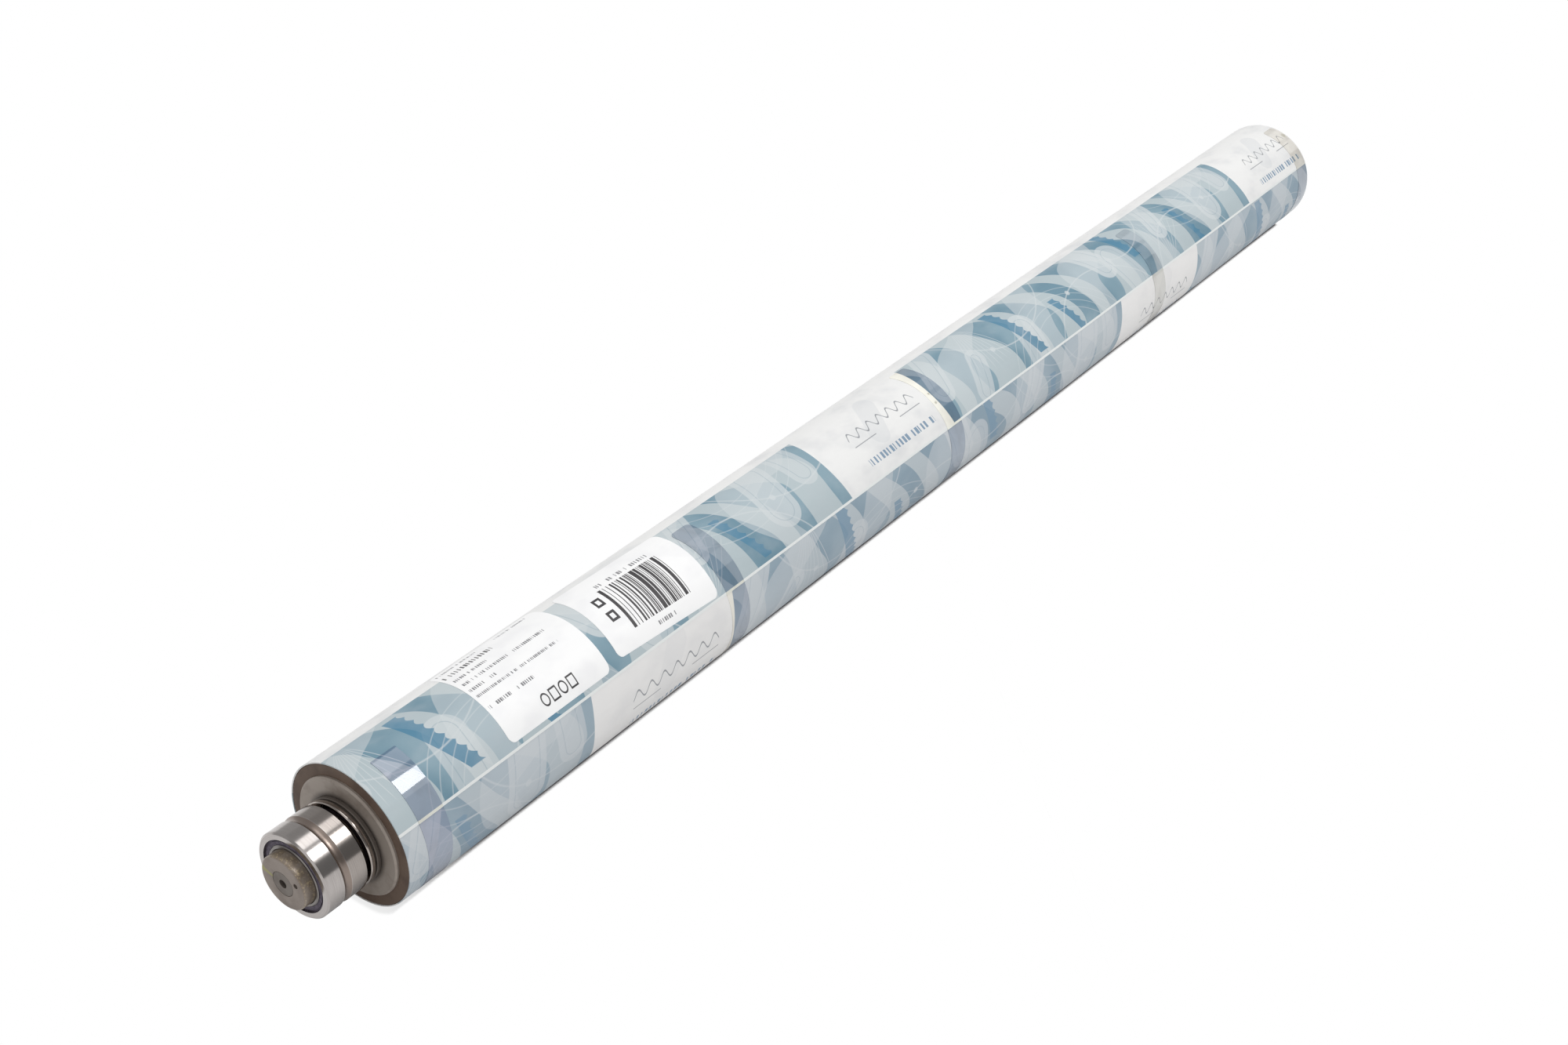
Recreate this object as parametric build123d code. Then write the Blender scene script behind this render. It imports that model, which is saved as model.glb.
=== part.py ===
"""Inking roller for an offset press: a rubber-covered steel core in its printed protective wrap,
with a sealed needle bearing on each journal.

Millimetres. The roller lies along X with the grooved bearing at the -X end, and +Z is up.
The origin is on the axis, halfway between the two journal tips.
Each end is modelled outward from the rubber's end face: u = 0 there, and u grows towards the tip.
"""
from build123d import *
import math
import os

# Core tube and the rubber cover moulded over it, which laps round the tube's ends
face_length = 1018.0
core_diameter = 71.0
core_wall = 6.0
cover_thickness = 4.5
cover_edge_radius = 0.8
lip_length = 4.0
lip_height = 2.0

# Journals, pressed into the core tube, whose heads stand proud of the rubber
head_proud = 2.0
head_rim = 0.9
plug_length = 40.0
plug_lead = 1.5
seat_diameter = 30.0
neck_step = 1.8
hub_step = 5.4
near_hub_length = 3.4
far_hub_length = 1.2
hub_root_radius = 0.8
flange_length = 2.4
flange_height = 1.4
flange_edge = 0.4
near_tip_length = 6.2
far_tip_length = 2.8
tip_edge_radius = 1.2

# Near journal's tip: centre plug, its hole and the pin hole beside it
centre_plug_diameter = 14.0
centre_plug_depth = 8.0
centre_plug_edge = 0.35
centre_hole_diameter = 4.8
centre_hole_depth = 6.0
pin_hole_diameter = 2.8
pin_hole_depth = 4.0
pin_hole_offset = 10.0
pin_hole_angle = 69.0

# Far journal's tip: a plain centre hole, as the lathe leaves it
lathe_centre_diameter = 6.0
lathe_centre_depth = 4.0

# Shoulder rings between the core's ends and the bearings
shoulder_ring_height = 6.9
near_ring_width = 3.0
far_ring_width = 2.2
shoulder_ring_edge = 0.8

# Needle bearings: both are alike but for their width, and only the near one has a locating groove
near_bearing_gap = 2.2
near_bearing_width = 25.4
far_bearing_gap = 0.6
far_bearing_width = 12.0
inner_ring_wall = 2.0
outer_ring_wall = 4.1
inner_ring_edge = 0.5
outer_ring_edge = 0.9
groove_width = 4.7
groove_depth = 0.7
needle_diameter = 2.8
needle_play = 0.05
needle_count = 18
needle_edge = 0.2
cage_thickness = 1.5
cage_rim = 1.2
cage_end_gap = 0.4
pocket_side_play = 0.1
pocket_end_play = 0.1
seal_seat_depth = 0.4
seal_recess = 0.8
seal_step = 0.8
seal_step_height = 2.0
seal_thickness = 1.4
seal_web = 0.5
seal_lip_play = 0.1

# Printed wrap: a paper sheet wound round the cover, its outer edge lying along the roller.
# The upper layer stands one sheet proud at that edge and fades out over the run-out beyond the back
wrap_thickness = 0.5
sheet_thickness = 0.25
seam_angle = 64.6
upper_layer_angle = 180.0

# Adhesive under the tape strips and labels, which isn't modelled
adhesive_layer = 0.05

# Tape strips stuck across the wrap's edge, placed from the rubber's near end or from its far end
near_tape_insets = [12.5, 249.0, 476.0]
far_tape_insets = [250.0, 1.0]
tape_tops = [10.0, -5.0, -13.0, 4.0, 5.0]
tape_corners = [0.5, 3.5, 1.5, 3.0, 3.0]
tape_width = 16.0
tape_thickness = 0.15
tape_bottom = 150.0
tape_ramp = 0.5

# Stick-on labels on the wrap's upper layer
label_thickness = 0.15
label_corner = 3.5
size_label_start = 78.5
size_label_length = 75.5
size_label_height = 65.0
size_label_angle = 13.0
size_label_tilt = 0.0
barcode_label_start = 163.5
barcode_label_length = 81.0
barcode_label_height = 56.5
barcode_label_angle = 18.5
barcode_label_tilt = -2.5

# Radii worked out from those above
core_radius = core_diameter / 2
core_bore_radius = core_radius - core_wall
cover_radius = core_radius + cover_thickness
head_radius = core_radius - lip_height
seat_radius = seat_diameter / 2
neck_radius = seat_radius + neck_step
hub_radius = neck_radius + hub_step
inner_ring_radius = seat_radius + inner_ring_wall
needle_radius = needle_diameter / 2
needle_pitch_radius = inner_ring_radius + needle_radius + needle_play
outer_raceway_radius = needle_pitch_radius + needle_radius + needle_play
bearing_radius = outer_raceway_radius + outer_ring_wall
seal_seat_radius = outer_raceway_radius + seal_seat_depth
wrap_radius = cover_radius + wrap_thickness
upper_radius = wrap_radius + sheet_thickness

# Stations worked out from those above, the first ones counted outward from the rubber's end
near_hub_end = head_proud + near_hub_length
far_hub_end = head_proud + far_hub_length
near_bearing_back = near_hub_end + near_ring_width + near_bearing_gap
far_bearing_back = far_hub_end + far_ring_width + far_bearing_gap
near_reach = near_bearing_back + near_bearing_width + near_tip_length
far_reach = far_bearing_back + far_bearing_width + far_tip_length
total_length = near_reach + face_length + far_reach
near_face = -total_length / 2 + near_reach
far_face = near_face + face_length


def ring(start, end, inner, outer, edge=0.0):
    """A turned ring between two stations and two radii, with chamfered corners."""
    section = Pos((start + end) / 2, (inner + outer) / 2) * Rectangle(end - start, outer - inner)
    if edge:
        section = chamfer(section.vertices(), edge)
    return revolve(section, Axis.X)


def disc(start, end, radius):
    """A plain cylinder on the axis between two stations."""
    section = Pos((start + end) / 2, radius / 2) * Rectangle(end - start, radius)
    return revolve(section, Axis.X)


def near_end(solid):
    """Turns a piece that was modelled outward along +X to its place at the near end."""
    return Location((near_face, 0, 0), (0, 0, 180)) * solid


def far_end(solid):
    """Moves a piece that was modelled outward along +X to its place at the far end."""
    return Location((far_face, 0, 0)) * solid


def around(radius, angle):
    """A point of the YZ section at an angle from the top towards the front (-Y) side."""
    turn = math.radians(angle)
    return (-radius * math.sin(turn), radius * math.cos(turn))


def core_tube():
    return ring(near_face + lip_length, far_face - lip_length, core_bore_radius, core_radius)


def rubber_cover():
    """The cover is moulded over the core and laps round its ends as far as the journals' heads."""
    start, end = near_face, far_face
    section = make_face(
        Polyline(
            (start, head_radius),
            (start, cover_radius),
            (end, cover_radius),
            (end, head_radius),
            (end - lip_length, head_radius),
            (end - lip_length, core_radius),
            (start + lip_length, core_radius),
            (start + lip_length, head_radius),
            close=True,
        )
    )
    outer_corners = section.vertices().sort_by(Axis.Y)[-2:]
    return revolve(fillet(outer_corners, cover_edge_radius), Axis.X)


def journal(reach, hub_end, bearing_back):
    """One turned piece: plug inside the tube, head, hub, neck, bearing seat and tip."""
    plug_end = -lip_length - plug_length
    section = make_face(
        Polyline(
            (plug_end, 0),
            (plug_end, core_bore_radius - plug_lead),
            (plug_end + plug_lead, core_bore_radius),
            (-lip_length, core_bore_radius),
            (-lip_length, head_radius),
            (head_proud - head_rim, head_radius),
            (head_proud, head_radius - head_rim),
            (head_proud, hub_radius),
            (hub_end, hub_radius),
            (hub_end, neck_radius),
            (bearing_back, neck_radius),
            (bearing_back, seat_radius),
            (reach, seat_radius),
            (reach, 0),
            close=True,
        )
    )
    hub_root = section.vertices().sort_by_distance((head_proud, hub_radius, 0))[0]
    section = fillet(hub_root, hub_root_radius)
    tip_corner = section.vertices().sort_by_distance((reach, seat_radius, 0))[0]
    return revolve(fillet(tip_corner, tip_edge_radius), Axis.X)


def near_journal():
    turned = journal(near_reach, near_hub_end, near_bearing_back)
    flange_radius = hub_radius + flange_height
    turned += ring(head_proud, head_proud + flange_length, neck_radius, flange_radius, flange_edge)
    turned -= disc(near_reach - centre_plug_depth, near_reach, centre_plug_diameter / 2)
    y, z = around(pin_hole_offset, -pin_hole_angle)
    pin_hole = Pos(0, y, z) * disc(near_reach - pin_hole_depth, near_reach, pin_hole_diameter / 2)
    return turned - pin_hole


def far_journal():
    turned = journal(far_reach, far_hub_end, far_bearing_back)
    cone = revolve(
        make_face(
            Polyline(
                (far_reach, 0),
                (far_reach, lathe_centre_diameter / 2),
                (far_reach - lathe_centre_depth, 0),
                close=True,
            )
        ),
        Axis.X,
    )
    return turned - cone


def near_centre_plug():
    """Pressed flush into the near journal's tip, with a grease hole in its middle."""
    section = make_face(
        Polyline(
            (near_reach - centre_plug_depth, 0),
            (near_reach - centre_plug_depth, centre_plug_diameter / 2),
            (near_reach - centre_plug_edge, centre_plug_diameter / 2),
            (near_reach, centre_plug_diameter / 2 - centre_plug_edge),
            (near_reach, centre_hole_diameter / 2),
            (near_reach - centre_hole_depth, centre_hole_diameter / 2),
            (near_reach - centre_hole_depth, 0),
            close=True,
        )
    )
    return revolve(section, Axis.X)


def shoulder_ring(hub_end, width):
    outer = neck_radius + shoulder_ring_height
    return ring(hub_end, hub_end + width, neck_radius, outer, shoulder_ring_edge)


def bearing_inner_ring(back, width):
    return ring(back, back + width, seat_radius, inner_ring_radius, inner_ring_edge)


def bearing_outer_ring(back, width, grooved):
    """The housing ring, counterbored at both faces for the seals."""
    seat = seal_recess + seal_thickness
    front = back + width
    section = make_face(
        Polyline(
            (back, seal_seat_radius),
            (back, bearing_radius - outer_ring_edge),
            (back + outer_ring_edge, bearing_radius),
            (front - outer_ring_edge, bearing_radius),
            (front, bearing_radius - outer_ring_edge),
            (front, seal_seat_radius),
            (front - seat, seal_seat_radius),
            (front - seat, outer_raceway_radius),
            (back + seat, outer_raceway_radius),
            (back + seat, seal_seat_radius),
            close=True,
        )
    )
    if grooved:
        groove_radius = (groove_width**2 / 4 + groove_depth**2) / (2 * groove_depth)
        centre = bearing_radius - groove_depth + groove_radius
        section -= Pos(back + width / 2, centre) * Circle(groove_radius)
    return revolve(section, Axis.X)


def bearing_cage(back, width):
    """A thin sleeve with one slot for each needle."""
    margin = seal_recess + seal_thickness + cage_end_gap
    start, end = back + margin, back + width - margin
    half = cage_thickness / 2
    cage = ring(start, end, needle_pitch_radius - half, needle_pitch_radius + half)
    slot_width = 2 * (needle_radius + pocket_side_play)
    slot = Pos((start + end) / 2, 0, needle_pitch_radius) * Box(
        end - start - 2 * cage_rim, slot_width, 2 * cage_thickness
    )
    slots = [Rot(360 * i / needle_count, 0, 0) * slot for i in range(needle_count)]
    return cage - slots


def bearing_needles(back, width):
    """The needle rollers, each a solid of its own."""
    margin = seal_recess + seal_thickness + cage_end_gap + cage_rim + pocket_end_play
    needle = Pos(back + width / 2, 0, needle_pitch_radius) * Cylinder(
        needle_radius, width - 2 * margin, rotation=(0, 90, 0)
    )
    needle = chamfer(needle.edges().filter_by(GeomType.CIRCLE), needle_edge)
    return [Rot(360 * i / needle_count, 0, 0) * needle for i in range(needle_count)]


def bearing_seal(face, inward):
    """A seal seated in the outer ring's counterbore. inward is +1 or -1, from the face into the bearing."""
    lip = inner_ring_radius + seal_lip_play
    rise = inner_ring_radius + seal_step_height
    front = face + inward * seal_recess
    step = front + inward * seal_step
    back = front + inward * seal_thickness
    web = front + inward * seal_web
    section = make_face(
        Polyline(
            (front, lip),
            (front, rise),
            (step, rise),
            (step, seal_seat_radius),
            (back, seal_seat_radius),
            (back, needle_pitch_radius),
            (web, lip + seal_web),
            (web, lip),
            close=True,
        )
    )
    return revolve(section, Axis.X)


def wrap_outline(grow=0.0, turn=0.0):
    """The wound sheet's outer edge in section. The sheet's end stands one layer above the turn below it,
    and beyond the upper layer the outline runs in to the lower one."""
    seam = seam_angle + turn
    run_out = seam - upper_layer_angle
    top, foot = upper_radius + grow, wrap_radius + grow
    over = ThreePointArc(
        around(top, seam),
        around(top, (seam + run_out) / 2),
        around(top, run_out),
    )
    under = ThreePointArc(
        around(top, run_out),
        around((top + foot) / 2, (seam - 360 + run_out) / 2),
        around(foot, seam),
    )
    return Plane.YZ * make_face([over, under, Line(around(foot, seam), around(top, seam))])


def printed_wrap():
    section = wrap_outline() - Plane.YZ * Circle(cover_radius)
    return Pos(near_face, 0, 0) * extrude(section, face_length)


def tape_strip(start, top_angle, corner):
    """One tape strip over the upper layer and down across the sheet's edge on to the layer below."""
    reach = 2 * cover_radius
    middle = (top_angle + tape_bottom) / 2
    sector = Plane.YZ * make_face(
        Polyline(
            (0, 0),
            around(reach, top_angle),
            around(reach, middle),
            around(reach, tape_bottom),
            close=True,
        )
    )
    outside = wrap_outline(adhesive_layer + tape_thickness, tape_ramp)
    section = (outside - wrap_outline(adhesive_layer, tape_ramp / 2)) & sector
    strip = Pos(near_face + start, 0, 0) * extrude(section, tape_width)
    y, z = around(upper_radius + adhesive_layer + tape_thickness / 2, top_angle)
    left = strip.edges().sort_by_distance((near_face + start, y, z))[0]
    right = strip.edges().sort_by_distance((near_face + start + tape_width, y, z))[0]
    return fillet([left, right], corner)


def label(start, length, height, angle, tilt):
    """A thin label with rounded corners, bent round the wrap's upper layer about its middle angle."""
    inner = upper_radius + adhesive_layer
    outer = inner + label_thickness
    chord = 2 * outer * math.sin(height / outer / 2)
    middle = near_face + start + length / 2
    sleeve = ring(middle - length, middle + length, inner, outer)
    blank = extrude(Rot(0, 0, tilt) * RectangleRounded(length, chord, label_corner), 2 * outer)
    return sleeve & (Pos(middle, 0, 0) * Rot(angle, 0, 0) * blank)


def bearing(name, place, back, width, grooved):
    """The six pieces of one needle bearing, at its end of the roller."""
    pieces = {
        "outer_ring": bearing_outer_ring(back, width, grooved),
        "inner_ring": bearing_inner_ring(back, width),
        "needles": bearing_needles(back, width),
        "cage": bearing_cage(back, width),
        "front_seal": bearing_seal(back + width, -1),
        "back_seal": bearing_seal(back, 1),
    }
    placed = {}
    for piece, solid in pieces.items():
        if isinstance(solid, list):
            placed[f"{name}_bearing_{piece}"] = Compound([place(one) for one in solid])
        else:
            placed[f"{name}_bearing_{piece}"] = place(solid)
    return placed


nodes = {
    "core_tube": core_tube(),
    "rubber_cover": rubber_cover(),
    "near_journal": near_end(near_journal()),
    "far_journal": far_end(far_journal()),
    "near_centre_plug": near_end(near_centre_plug()),
    "near_shoulder_ring": near_end(shoulder_ring(near_hub_end, near_ring_width)),
    "far_shoulder_ring": far_end(shoulder_ring(far_hub_end, far_ring_width)),
    "printed_wrap": printed_wrap(),
    "size_label": label(
        size_label_start, size_label_length, size_label_height, size_label_angle, size_label_tilt
    ),
    "barcode_label": label(
        barcode_label_start,
        barcode_label_length,
        barcode_label_height,
        barcode_label_angle,
        barcode_label_tilt,
    ),
}
nodes.update(bearing("near", near_end, near_bearing_back, near_bearing_width, grooved=True))
nodes.update(bearing("far", far_end, far_bearing_back, far_bearing_width, grooved=False))
tape_starts = near_tape_insets + [face_length - inset - tape_width for inset in far_tape_insets]
for number, placing in enumerate(zip(tape_starts, tape_tops, tape_corners), 1):
    nodes[f"tape_strip_{number}"] = tape_strip(*placing)

os.makedirs("parts", exist_ok=True)
for name, solid in nodes.items():
    export_step(solid, f"parts/{name}.step")
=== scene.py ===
"""Looks of the inking roller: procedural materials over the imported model, a finer wrap, cover and
shoulder ring, a plain pale floor, soft studio lamps and the camera.

Metres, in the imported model's frame. Print, tapes and labels are laid out in millimetres along the
rubber from its near end (station) and in degrees from the top towards the front (angle).
"""
import bpy
import math
from types import SimpleNamespace
from mathutils import Matrix, Vector


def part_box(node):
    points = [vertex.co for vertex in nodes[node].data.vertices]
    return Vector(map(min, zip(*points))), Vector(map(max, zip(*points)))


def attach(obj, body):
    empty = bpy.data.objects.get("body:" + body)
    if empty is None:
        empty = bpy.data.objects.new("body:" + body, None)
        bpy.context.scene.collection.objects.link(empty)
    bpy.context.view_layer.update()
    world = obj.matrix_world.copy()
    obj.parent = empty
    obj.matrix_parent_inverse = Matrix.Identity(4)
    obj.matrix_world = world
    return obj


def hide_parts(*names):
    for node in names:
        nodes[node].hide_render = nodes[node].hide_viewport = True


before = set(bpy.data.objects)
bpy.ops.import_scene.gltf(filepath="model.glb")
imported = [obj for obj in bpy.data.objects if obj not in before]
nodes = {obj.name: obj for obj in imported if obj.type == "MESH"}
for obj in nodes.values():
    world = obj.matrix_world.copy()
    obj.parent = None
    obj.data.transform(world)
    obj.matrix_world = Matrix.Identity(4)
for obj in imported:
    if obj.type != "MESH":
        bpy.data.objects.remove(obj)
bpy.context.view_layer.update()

MM = 0.001
FULL_TURN = 360.0
COVER_LOW, COVER_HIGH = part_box("rubber_cover")
NEAR_FACE = COVER_LOW.x
FAR_FACE = COVER_HIGH.x
COVER_RADIUS = COVER_HIGH.z
FLOOR_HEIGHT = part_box("printed_wrap")[0].z

# The wound sheet, as in the solids: its edge runs along the roller, one sheet above the turn below
SEAM_ANGLE = 64.6
UPPER_LAYER_ANGLE = 180.0
WRAP_THICKNESS = 0.5 * MM
SHEET_THICKNESS = 0.25 * MM
UPPER_RADIUS = COVER_RADIUS + WRAP_THICKNESS + SHEET_THICKNESS
MM_PER_DEGREE = math.radians(1) * UPPER_RADIUS / MM


def srgb(red, green, blue):
    """A colour as a picture shows it, from 0 to 255, turned into Blender's linear values."""
    def linear(value):
        value = value / 255
        return value / 12.92 if value <= 0.04045 else ((value + 0.055) / 1.055) ** 2.4
    return (linear(red), linear(green), linear(blue), 1.0)


def grey(level):
    """A grey in linear values."""
    return (level, level, level, 1.0)


WHITE = grey(1.0)


# Node trees

class Field:
    """A number that varies over a surface. Plain arithmetic on Fields builds math nodes."""

    def __init__(self, graph, socket):
        self.graph = graph
        self.socket = socket

    def __add__(self, other):
        return self.graph.math("ADD", self, other)

    def __sub__(self, other):
        return self.graph.math("SUBTRACT", self, other)

    def __mul__(self, other):
        return self.graph.math("MULTIPLY", self, other)

    def __truediv__(self, other):
        return self.graph.math("DIVIDE", self, other)

    def __mod__(self, other):
        return self.graph.math("FLOORED_MODULO", self, other)

    def __rsub__(self, other):
        return self.graph.math("SUBTRACT", other, self)

    __radd__ = __add__


class Graph:
    """The node tree of one material."""

    def __init__(self, name):
        self.material = bpy.data.materials.new(name)
        self.material.use_nodes = True
        self.tree = self.material.node_tree
        self.tree.nodes.clear()
        self.output = self.tree.nodes.new("ShaderNodeOutputMaterial")

    def node(self, kind, inputs=(), **settings):
        made = self.tree.nodes.new(kind)
        for key, value in settings.items():
            setattr(made, key, value)
        for key, value in dict(inputs).items():
            self.feed(made.inputs[key], value)
        return made

    def feed(self, socket, value):
        """Links a Field or a socket to an input, or writes a constant there."""
        if isinstance(value, Field):
            self.tree.links.new(value.socket, socket)
        elif isinstance(value, bpy.types.NodeSocket):
            self.tree.links.new(value, socket)
        else:
            socket.default_value = value

    def math(self, operation, *values):
        made = self.tree.nodes.new("ShaderNodeMath")
        made.operation = operation
        for socket, value in zip(made.inputs, values):
            self.feed(socket, value)
        return Field(self, made.outputs[0])

    def length(self, x, y):
        return self.math("SQRT", x * x + y * y)

    def smooth(self, value, low, high):
        """0 below low and 1 above high, with a soft step between. low may be the larger one."""
        rising = low < high
        made = self.node(
            "ShaderNodeMapRange",
            {
                "Value": value,
                "From Min": min(low, high),
                "From Max": max(low, high),
                "To Min": 0.0 if rising else 1.0,
                "To Max": 1.0 if rising else 0.0,
            },
            interpolation_type="SMOOTHSTEP",
        )
        return Field(self, made.outputs["Result"])

    def inside(self, value, low, high, soft):
        """1 between low and high, with soft edges."""
        entered = self.smooth(value, low - soft, low + soft)
        return entered * self.smooth(value, high + soft, high - soft)

    def line(self, value, width, soft):
        """1 where value is near 0."""
        return self.smooth(self.math("ABSOLUTE", value), width / 2 + soft, width / 2 - soft)

    def vector(self, x, y, z=0.0):
        return self.node("ShaderNodeCombineXYZ", {"X": x, "Y": y, "Z": z}).outputs[0]

    def noise(self, vector, scale, detail=2.0, roughness=0.5):
        made = self.node(
            "ShaderNodeTexNoise",
            {"Vector": vector, "Scale": scale, "Detail": detail, "Roughness": roughness},
        )
        return Field(self, made.outputs["Fac"])

    def random(self, value):
        """A number from 0 to 1 for each whole number of value."""
        whole = self.math("FLOOR", value)
        made = self.node("ShaderNodeTexWhiteNoise", {"W": whole}, noise_dimensions="1D")
        return Field(self, made.outputs["Value"])

    def mix(self, first, second, share, blend="MIX"):
        """Blends two colours, or a colour and what a Mix node gives."""
        made = self.tree.nodes.new("ShaderNodeMix")
        made.data_type = "RGBA"
        made.blend_type = blend
        self.feed(made.inputs[0], share)
        self.feed(made.inputs[6], first)
        self.feed(made.inputs[7], second)
        return made.outputs[2]

    def tint(self, colour, tint, share=1.0):
        """Multiplies a colour by a tint."""
        return self.mix(colour, tint, share, "MULTIPLY")

    def bump(self, height, distance, strength):
        inputs = {"Height": height, "Distance": distance, "Strength": strength}
        return self.node("ShaderNodeBump", inputs).outputs[0]

    def emission(self, colour, strength=1.0):
        inputs = {"Color": colour, "Strength": strength}
        return self.node("ShaderNodeEmission", inputs).outputs[0]

    def surface(self, shader):
        self.tree.links.new(shader, self.output.inputs["Surface"])
        return self.material

    def finish(self, **inputs):
        """Ends in a Principled shader. Input names are written with underscores for spaces."""
        shader = self.node(
            "ShaderNodeBsdfPrincipled",
            {key.replace("_", " "): value for key, value in inputs.items()},
        )
        return self.surface(shader.outputs[0])

    def position(self):
        """The surface point in the row frame, as three Fields in metres."""
        point = self.node("ShaderNodeTexCoord").outputs["Object"]
        parts = self.node("ShaderNodeSeparateXYZ", {"Vector": point})
        return [Field(self, parts.outputs[i]) for i in range(3)]

    def roller(self):
        """Station in mm from the rubber's near end, angle in degrees and radius in mm."""
        x, y, z = self.position()
        station = (x - NEAR_FACE) * 1000
        angle = self.math("DEGREES", self.math("ARCTAN2", y * -1.0, z))
        radius = self.length(y, z) * 1000
        return station, angle, radius


# The print: blue bands run along the sheet with bare paper between them, and each band is broken by
# white panels. Panels start at other stations on the upper layer than on the lower one.

EDGE_MARGIN = 1.5
BAND_HEIGHT = 58.0
BAND_PITCH = 102.0
BAND_SKEW = 0.005
PANEL_SHARE = 0.208
PANEL_BULGE = 0.008
MOTIF_LENGTH = 545.0
UPPER_PANEL_START, UPPER_PANEL_PITCH = 372.0, 543.0
LOWER_PANEL_START, LOWER_PANEL_PITCH = 137.0, 568.0

DEEP_TEAL = srgb(70, 128, 158)
MID_BLUE = srgb(135, 162, 175)
DUSK_BLUE = srgb(108, 142, 159)
PALE_BLUE = srgb(187, 198, 201)
BRIGHT_BLUE = srgb(207, 213, 215)
HAZE_BLUE = srgb(192, 198, 203)
# Painted shade over the print on the sheet's lower side
LOWER_SHADE_LILAC = srgb(184, 186, 195)
PAPER_WHITE = srgb(235, 235, 234)
PAPER_CLOUD = srgb(227, 227, 227)
PAPER_GHOST = srgb(214, 216, 218)
# Painted shade over bare paper on the sheet's lower side
LOWER_SHADE_PAPER = srgb(226, 224, 223)
EDGE_WHITE = srgb(228, 231, 230)
MARK_GREY = srgb(128, 132, 138)
MARK_BLUE = srgb(88, 128, 160)

# The shapes below are in mm along a band and across it
PRINT_SOFTNESS = 0.3

# Two crossing rows of blades. Each leans across the band, bows about its middle and drifts with a
# slow noise, and its blades fill a span of each pitch.
BLADE_BOW = 80.0
BLADE_PITCH, BLADE_LEAN, BLADE_DRIFT, BLADE_SPAN = 43.0, 0.45, 70.0, (0.1, 0.58)
COUNTER_PITCH, COUNTER_LEAN, COUNTER_DRIFT, COUNTER_SPAN = 83.0, 0.3, 110.0, (0.25, 0.62)
COUNTER_BOW = 1.4

# Round-ended bars: along, across, turn in degrees, length, radius and strength
ROUND_BARS = (
    (131.0, 40.0, 66.0, 34.0, 10.0, 0.7),
    (163.0, 17.0, 58.0, 26.0, 8.0, 0.6),
    (226.0, 12.0, 80.0, 30.0, 12.0, 0.6),
    (338.0, 44.0, 112.0, 30.0, 11.0, 0.75),
    (362.0, 20.0, 104.0, 26.0, 13.0, 0.6),
    (430.0, 46.0, 70.0, 34.0, 9.0, 0.7),
    (497.0, 38.0, 84.0, 32.0, 13.0, 0.7),
    (528.0, 46.0, 96.0, 26.0, 10.0, 0.6),
)
ROUND_BAR_INSET = 4.5

# The panel's faint bar: along, across, turn, length and radius
GHOST_BAR = (60.0, 36.0, 62.0, 24.0, 8.0)

# Scalloped bars: along, width, and first and last place across
SCALLOPED_BARS = (
    (233.0, 11.0, 6.0, 54.0),
    (283.0, 9.0, -1.0, 32.0),
    (391.0, 10.0, 22.0, 59.0),
    (466.0, 8.0, 4.0, 40.0),
)
SCALLOP_WIDTH, SCALLOP_DEPTH, SCALLOP_SLANT = 5.5, 2.2, 0.36

# Long arcs, each with a small disc at its foot: centre along and across, and radius
LONG_ARCS = (
    (215.0, 96.0, 74.0),
    (318.0, -44.0, 78.0),
    (372.0, 80.0, 52.0),
    (452.0, -22.0, 58.0),
    (520.0, 92.0, 66.0),
)
FOOT_COSINE, FOOT_SINE = 0.35, 0.937

# Rings of fine arcs: centre along and across, first and last radius, and pitch
ARC_RINGS = (
    (262.0, -36.0, 56.0, 80.0, 6.0),
    (470.0, 104.0, 58.0, 88.0, 7.5),
)

# Fans of fine lines: centre along and across, and first and last heading in degrees
FANS = (
    (182.0, 62.0, -125.0, -60.0),
    (412.0, -3.0, 40.0, 100.0),
)
FAN_PITCH = 6.5

# A white panel's marks: a wavy line and a broken rule, and a row of uneven marks below them
PANEL_ROW = (30.0, 100.0)
WAVE_CENTRE, WAVE_LENGTH, WAVE_HEIGHT, WAVE_WIDTH = 33.0, 10.4, 3.0, 1.15
RULE_CENTRE, RULE_WIDTH = 25.6, 0.6
RULE_BREAK = (52.0, 78.0)
PANEL_MARKS = dict(centre=12.5, height=4.6, cell=3.4, seed=44)


def sheet_layout(g, station, angle):
    """Where a point lies on the wound sheet: masks for the blue print, the band, the lower layer,
    the panel and the bare edge, and the print's own coordinates in mm."""
    lower = g.smooth(angle, SEAM_ANGLE - 0.02, SEAM_ANGLE + 0.02)
    edge_distance = (SEAM_ANGLE - angle + lower * FULL_TURN) * MM_PER_DEGREE
    across = (edge_distance + station * BAND_SKEW - EDGE_MARGIN) % BAND_PITCH
    in_band = g.inside(across, 0.0, BAND_HEIGHT, 0.25)
    near_edge = g.smooth(edge_distance, EDGE_MARGIN + 0.15, EDGE_MARGIN - 0.15)
    start = UPPER_PANEL_START + lower * (LOWER_PANEL_START - UPPER_PANEL_START)
    pitch = UPPER_PANEL_PITCH + lower * (LOWER_PANEL_PITCH - UPPER_PANEL_PITCH)
    bulge = g.math("SINE", across * (math.pi / BAND_HEIGHT)) * PANEL_BULGE
    repeat = ((station - start) / pitch + bulge) % 1.0
    panel = g.inside(repeat, 0.0, PANEL_SHARE, 0.0006)
    return SimpleNamespace(
        printed=in_band * (1.0 - panel) * (1.0 - near_edge),
        in_band=in_band,
        lower=lower,
        panel=panel,
        near_edge=near_edge,
        along=repeat * MOTIF_LENGTH,
        across=across,
    )


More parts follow.
